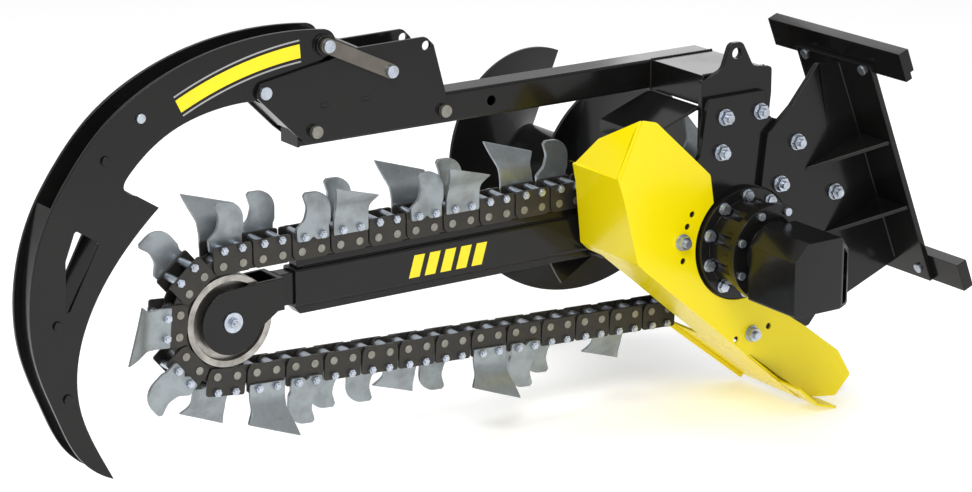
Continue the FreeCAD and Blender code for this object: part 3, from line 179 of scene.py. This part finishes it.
def dress(material, *names, edge=0.0):
    """Give CAD nodes their finish, and an eased edge of that many millimetres."""
    for name in names:
        piece = nodes[name]
        piece.data.materials.clear()
        piece.data.materials.append(material)
        for face in piece.data.polygons:
            face.use_smooth = True
        if edge:
            ease(piece, edge)


BEAD_CORNERS = 8
RIPPLE = 0.13


def weld_bead(name, body, route, radius=3.2):
    """A rippled fillet bead along a route of places, half sunk in the joint that it fills."""
    mesh = bpy.data.meshes.new(name)
    bead = bmesh.new()
    step = radius * 0.55 * MM
    stations = []
    for start, end in zip(route, route[1:]):
        count = max(2, int((end - start).length / step))
        for index in range(count):
            stations.append((start.lerp(end, index / count), (end - start).normalized()))
    stations.append((route[-1], (route[-1] - route[-2]).normalized()))
    rings = []
    for index, (middle, along) in enumerate(stations):
        side = along.orthogonal().normalized()
        other = along.cross(side)
        taper = min(1.0, 0.35 + 0.3 * min(index, len(stations) - 1 - index))
        size = radius * MM * taper * (1.0 + RIPPLE * math.sin(index * math.pi / 2))
        turns = [2 * math.pi * k / BEAD_CORNERS for k in range(BEAD_CORNERS)]
        rings.append([bead.verts.new(middle + side * math.cos(turn) * size + other * math.sin(turn) * size)
                      for turn in turns])
    for near, far in zip(rings, rings[1:]):
        for k in range(BEAD_CORNERS):
            after = (k + 1) % BEAD_CORNERS
            bead.faces.new((near[k], near[after], far[after], far[k])).smooth = True
    bead.faces.new(list(reversed(rings[0])))
    bead.faces.new(rings[-1])
    bmesh.ops.recalc_face_normals(bead, faces=bead.faces)
    bead.to_mesh(mesh)
    bead.free()
    piece = bpy.data.objects.new(name, mesh)
    bpy.context.scene.collection.objects.link(piece)
    piece.data.materials.append(black_gloss)
    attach(piece, body)


black_gloss = finish("black_gloss_paint", (0.0060, 0.0058, 0.0058), (0.012, 0.011, 0.010), 0.5, 0.15, 0.12,
                     patch=5.0, grain=240.0, bump=0.035, coat=0.12, shine=0.22)
zinc = finish("zinc_plate", (0.50, 0.55, 0.63), (0.30, 0.30, 0.30), 0.6, 0.26, 0.16, metallic=0.9,
              patch=60.0, grain=1500.0, bump=0.08)
dress(black_gloss, "hitch_plate", "hitch_bars", "hitch_side_plate", "hitch_gussets", edge=1.2)
dress(zinc, "hitch_bolts", edge=0.5)
LEAN = math.radians(21.4)
PLATE_TOP_X, PLATE_TOP_Z = 224, 345
WELD_FROM, WELD_TO = 10, 474
for side, y in (("near", -232), ("far", -220)):
    weld_bead(f"hitch_side_weld_{side}", "frame",
              [at(PLATE_TOP_X + along * math.sin(LEAN), y, PLATE_TOP_Z - along * math.cos(LEAN))
               for along in (WELD_FROM, WELD_TO)])

# ---- Head plate and beam arm ----
# Heavy profile-cut plate that carries the bearing housing, with the lifting eye plate bolted to it
# and the cross arm that reaches over the chain to the crumber beam. Welded, then painted.
dress(black_gloss, "head_plate", "lifting_eye_plate", "beam_cross_arm", "chain_guard", edge=1.2)
arm_low, arm_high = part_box("beam_cross_arm")
for joint, y in (("beam", arm_high.y), ("eye", arm_low.y)):
    weld_bead(f"arm_{joint}_weld", "frame",
              [Vector((arm_low.x, y, arm_low.z)), Vector((arm_high.x, y, arm_low.z)),
               Vector((arm_high.x, y, arm_high.z)), Vector((arm_low.x, y, arm_high.z)),
               Vector((arm_low.x, y, arm_low.z))])
dress(zinc, "head_bolts", edge=0.5)

# ---- Boom ----
# Rectangular tube welded to the head box, with hard wear rails above and below for the chain.
# Gloss paint; slanted yellow bars are stuck to its motor side as a plain marking.
dress(black_gloss, "boom_root_box", "boom_tube", "boom_wear_rails", edge=1.4)
BAR_COUNT = 5
BAR_LOW, BAR_HIGH = -14, 30
BAR_STEP, BAR_WIDTH, BAR_SLANT = 36, 24, 13
BAR_START = -655
boom_low, boom_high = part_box("boom_tube")
boom_side = boom_low.y
rail_low, rail_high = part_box("boom_wear_rails")
WELD_GAP_NOSE, WELD_GAP_HEAD = 20 * MM, 60 * MM
for edge_name, y in (("near", rail_low.y), ("far", rail_high.y)):
    for face_name, z in (("top", boom_high.z), ("foot", boom_low.z)):
        weld_bead(f"rail_{face_name}_weld_{edge_name}", "frame",
                  [Vector((boom_low.x + WELD_GAP_NOSE, y, z)), Vector((boom_high.x - WELD_GAP_HEAD, y, z))],
                  2.4)
yellow_film = finish("yellow_film", (0.93, 0.74, 0.003), (0.70, 0.52, 0.01), 0.25, 0.3, 0.1, patch=20.0,
                     grain=900.0, bump=0.02)


FILM_SINK = 0.05 * MM


def film(name, body, outline, y, material, thick=0.25):
    """A flat stick-on shape: its outline is places along and up, and y is the face it is stuck to."""
    mesh = bpy.data.meshes.new(name)
    sheet = bmesh.new()
    places = [at(x, 0, z) for x, z in outline]
    front = [sheet.verts.new(Vector((place.x, y - thick * MM, place.z))) for place in places]
    back = [sheet.verts.new(Vector((place.x, y + FILM_SINK, place.z))) for place in places]
    sheet.faces.new(front)
    sheet.faces.new(list(reversed(back)))
    for k in range(len(outline)):
        n = (k + 1) % len(outline)
        sheet.faces.new((front[k], back[k], back[n], front[n]))
    bmesh.ops.recalc_face_normals(sheet, faces=sheet.faces)
    bmesh.ops.triangulate(sheet, faces=sheet.faces[:2])
    sheet.to_mesh(mesh)
    sheet.free()
    piece = bpy.data.objects.new(name, mesh)
    bpy.context.scene.collection.objects.link(piece)
    piece.data.materials.append(material)
    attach(piece, body)


for index in range(BAR_COUNT):
    left = BAR_START + index * BAR_STEP
    right = left + BAR_WIDTH
    bar = [(left, BAR_LOW), (right, BAR_LOW), (right + BAR_SLANT, BAR_HIGH), (left + BAR_SLANT, BAR_HIGH)]
    film(f"boom_marking_{index + 1}", "frame", bar, boom_side, yellow_film)

# ---- Head shaft and drive ----
# Turned housing with a bolted flange, the motor adapter and the plated bolts round both, and the
# steel box that covers the hydraulic motor. Castings are machined, then painted with the frame.
dress(black_gloss, "bearing_housing", "motor_adapter", "hydraulic_motor", "motor_cover", edge=1.0)
dress(zinc, "housing_bolts", edge=0.4)
ground_steel = finish("ground_steel", (0.52, 0.52, 0.53), (0.25, 0.24, 0.23), 0.4, 0.16, 0.1, metallic=1.0,
                      patch=40.0, grain=1800.0, stretch=0.2, bump=0.05)
dress(ground_steel, "head_shaft", "bearing_inner_rings", "bearing_outer_rings", "motor_shaft", edge=0.4)
rubber = finish("seal_rubber", (0.016, 0.016, 0.016), (0.04, 0.038, 0.035), 0.5, 0.6, 0.2, patch=90.0,
                grain=1200.0, bump=0.1)
dress(rubber, "shaft_seal")

# ---- Nose ----
# Forked carrier that slides out of the boom under a grease cylinder and holds a plain steel wheel.
# The carrier is welded plate, painted; the wheel is turned steel and is left bare.
wheel_steel = finish("turned_wheel_steel", (0.40, 0.385, 0.36), (0.12, 0.10, 0.085), 0.7, 0.28, 0.2,
                     metallic=0.95, patch=26.0, grain=900.0, bump=0.1)
dress(black_gloss, "nose_carrier", edge=1.2)
dress(wheel_steel, "nose_wheel", edge=1.0)
dress(zinc, "nose_axle", "tension_cylinder", edge=0.5)
dress(ground_steel, "nose_wheel_bearings", "tension_rod", edge=0.3)

# ---- Chain ----
# Pitched digging chain: stamped side bars with two lugs each, bushed rollers and riveted pins.
# Hardened steel with a dark oiled heat-treatment colour; the pin ends are peened bright.
chain_steel = finish("chain_steel", (0.034, 0.032, 0.029), (0.070, 0.062, 0.050), 0.5, 0.36, 0.2,
                     metallic=0.6, patch=30.0, grain=800.0, bump=0.12)
pin_steel = finish("pin_end_steel", (0.27, 0.265, 0.235), (0.15, 0.135, 0.11), 0.6, 0.36, 0.15, metallic=0.8,
                   patch=80.0, grain=1500.0, bump=0.08)
dress(chain_steel, "chain_side_bars", "chain_inner_plates", "drive_sprocket", edge=0.7)
dress(pin_steel, "chain_pins", edge=0.4)
dress(zinc, "chain_rollers", "chain_lug_spacers", "chain_lug_bolts", edge=0.4)

# ---- Teeth ----
# Forged and bent digging teeth, bolted to the chain's lugs: narrow hooked fins that cut and wide
# flared scoops that clear the sides of the trench. Bare quenched steel with a blue-grey cast.
tooth_steel = finish("tooth_steel", (0.30, 0.335, 0.355), (0.16, 0.155, 0.15), 0.55, 0.33, 0.2,
                     metallic=0.8, patch=24.0, grain=700.0, bump=0.14)
dress(tooth_steel, "fin_teeth", "scoop_teeth", edge=0.9)

# ---- Auger ----
# Spoil auger: a rolled flight welded to a tube, bolted to the flange of the head shaft. It carries
# the soil that the chain lifts away from the trench. Welded steel, painted gloss black.
dress(black_gloss, "auger_tube", edge=1.0)
dress(black_gloss, "auger_flight", edge=0.8)
dress(zinc, "auger_flange_bolts", edge=0.4)

# ---- Deflector ----
# Bent sheet guard that turns the soil aside from the motor, with rows of holes to set its height
# and a lip welded under the far edge of its tray. Folded plate, powder coated gloss yellow.
yellow_gloss = finish("yellow_gloss_paint", (0.90, 0.73, 0.0), (0.85, 0.68, 0.0), 0.1, 0.24, 0.05,
                      patch=6.0, grain=260.0, bump=0.01, coat=0.06, shine=0.3)
dress(yellow_gloss, "deflector", "deflector_skid", edge=1.0)

# ---- Crumber beam and bracket ----
# Square tube over the chain with two bracket plates that straddle it. Quick pins with lynch pins
# hold the bracket, so that it can be set for boom length. Painted; pins and clips are zinc plated.
dress(black_gloss, "bracket_plates", "stop_spacer", edge=1.2)
dress(black_gloss, "crumber_beam", "bracket_cross_plates")
dress(zinc, "bracket_bolts", "lynch_pins", edge=0.5)
dress(pin_steel, "quick_pins", edge=1.0)
dress(zinc, "lynch_ring_front", "lynch_ring_rear")

# ---- Crumber ----
# Hooked arm of two profile-cut plates that drags behind the nose and cleans the trench floor.
# It swings up about the rear link bolt. Painted gloss black, with a plain striped film on the motor side.
dress(black_gloss, "crumber_plates", "crumber_spacers", "crumber_bolts", "crumber_shoe", edge=1.2)
PLATED_ABOVE = 370
bolts = nodes["crumber_bolts"]
bolts.data.materials.append(zinc)
for face in bolts.data.polygons:
    if face.center.z > at(0, 0, PLATED_ABOVE).z:
        face.material_index = 1
grey_film = finish("grey_film", (0.36, 0.36, 0.36), (0.26, 0.26, 0.26), 0.4, 0.3, 0.1, patch=20.0,
                   grain=900.0, bump=0.02)
crumber_side = at(0, -36.1, 0).y
STRIPE_CENTRE_X, STRIPE_CENTRE_Z = -840, -238
STRIPE_RADIUS, STRIPE_WIDTH = 706, 26
STRIPE_FROM, STRIPE_TO, STRIPE_STEPS = 94.5, 116.0, 24
LINE_WIDTH, LINE_OFFSET = 3, 20


def curved_strip(radius, width):
    """The outline of a strip of that width which follows the arm's curve at that radius."""
    sweep_each = (STRIPE_TO - STRIPE_FROM) / STRIPE_STEPS
    turns = [math.radians(STRIPE_FROM + sweep_each * k) for k in range(STRIPE_STEPS + 1)]
    edges = []
    for reach in (radius + width / 2, radius - width / 2):
        edges.append([(STRIPE_CENTRE_X + reach * math.cos(turn), STRIPE_CENTRE_Z + reach * math.sin(turn))
                      for turn in turns])
    outer, inner = edges
    return outer + inner[::-1]


film("marking_stripe", "crumber", curved_strip(STRIPE_RADIUS, STRIPE_WIDTH), crumber_side, yellow_film)
for line_name, offset in (("outer", LINE_OFFSET), ("inner", -LINE_OFFSET)):
    film(f"marking_line_{line_name}", "crumber", curved_strip(STRIPE_RADIUS + offset, LINE_WIDTH),
         crumber_side, grey_film)
strap_steel = finish("strap_steel", (0.16, 0.145, 0.125), (0.09, 0.08, 0.07), 0.5, 0.34, 0.15,
                     metallic=0.7, patch=18.0, grain=700.0, bump=0.1)
dress(strap_steel, "link_straps", edge=0.8)
dress(zinc, "link_front_bolt", edge=0.8)
dress(black_gloss, "strut_barrel", edge=0.6)
dress(ground_steel, "strut_rod", edge=0.4)

# ---- Stage ----
# Plain pale sweep under and behind the trencher, with soft boxes above, beside and behind it.
FLOOR_GAP = 2 * MM
SWEEP_HALF = 30
floor_z = cad_low.z - FLOOR_GAP
corners = [(-SWEEP_HALF, -SWEEP_HALF, floor_z), (SWEEP_HALF, -SWEEP_HALF, floor_z),
           (SWEEP_HALF, SWEEP_HALF, floor_z), (-SWEEP_HALF, SWEEP_HALF, floor_z)]
sweep_mesh = bpy.data.meshes.new("sweep")
sweep_mesh.from_pydata(corners, [], [(0, 1, 2, 3)])
sweep = bpy.data.objects.new("sweep", sweep_mesh)
bpy.context.scene.collection.objects.link(sweep)
pale = bpy.data.materials.new("pale_sweep")
pale.use_nodes = True
pale_shader = pale.node_tree.nodes["Principled BSDF"]
pale_shader.inputs["Base Color"].default_value = (0.93, 0.93, 0.93, 1)
pale_shader.inputs["Roughness"].default_value = 0.9
pale_shader.inputs["Emission Color"].default_value = (1, 1, 1, 1)
pale_shader.inputs["Emission Strength"].default_value = 0.3
sweep.data.materials.append(pale)

world = bpy.data.worlds.new("studio")
bpy.context.scene.world = world
world.use_nodes = True
background = world.node_tree.nodes["Background"]
background.inputs["Color"].default_value = (1, 1, 1, 1)
background.inputs["Strength"].default_value = 0.62


def soft_box(name, place, aim, width, height, power):
    """A rectangular studio light at a place, turned to face what it lights."""
    light = bpy.data.lights.new(name, "AREA")
    light.shape = "RECTANGLE"
    light.size = width
    light.size_y = height
    light.energy = power
    lamp = bpy.data.objects.new(name, light)
    lamp.location = place
    lamp.rotation_euler = (Vector(aim) - Vector(place)).to_track_quat("-Z", "Y").to_euler()
    bpy.context.scene.collection.objects.link(lamp)


middle = (cad_low + cad_high) / 2
soft_box("key", middle + Vector((-1.2, -2.4, 2.6)), middle, 1.6, 1.2, 62)
soft_box("top", middle + Vector((0.0, 0.2, 3.2)), middle, 2.6, 2.0, 50)
soft_box("rim", middle + Vector((2.2, 1.6, 1.4)), middle, 1.2, 1.6, 8)

# ---- Camera ----
# A long lens from the nose end on the motor side, a little above the boom, so that the crumber, the
# chain, the deflector and the hitch all show.
VIEW_AZIMUTH = math.radians(-34.11)
VIEW_ELEVATION = math.radians(16.60)
eye = at(-3643, -4698, 1704.5)
look = Vector((-math.sin(VIEW_AZIMUTH) * math.cos(VIEW_ELEVATION),
               math.cos(VIEW_AZIMUTH) * math.cos(VIEW_ELEVATION), -math.sin(VIEW_ELEVATION)))
lens = bpy.data.cameras.new("camera")
lens.lens = 112.2
lens.sensor_width = 36
camera = bpy.data.objects.new("camera", lens)
camera.location = eye
camera.rotation_euler = look.to_track_quat("-Z", "Y").to_euler()
bpy.context.scene.collection.objects.link(camera)
bpy.context.scene.camera = camera
bpy.context.scene.view_settings.view_transform = "Standard"
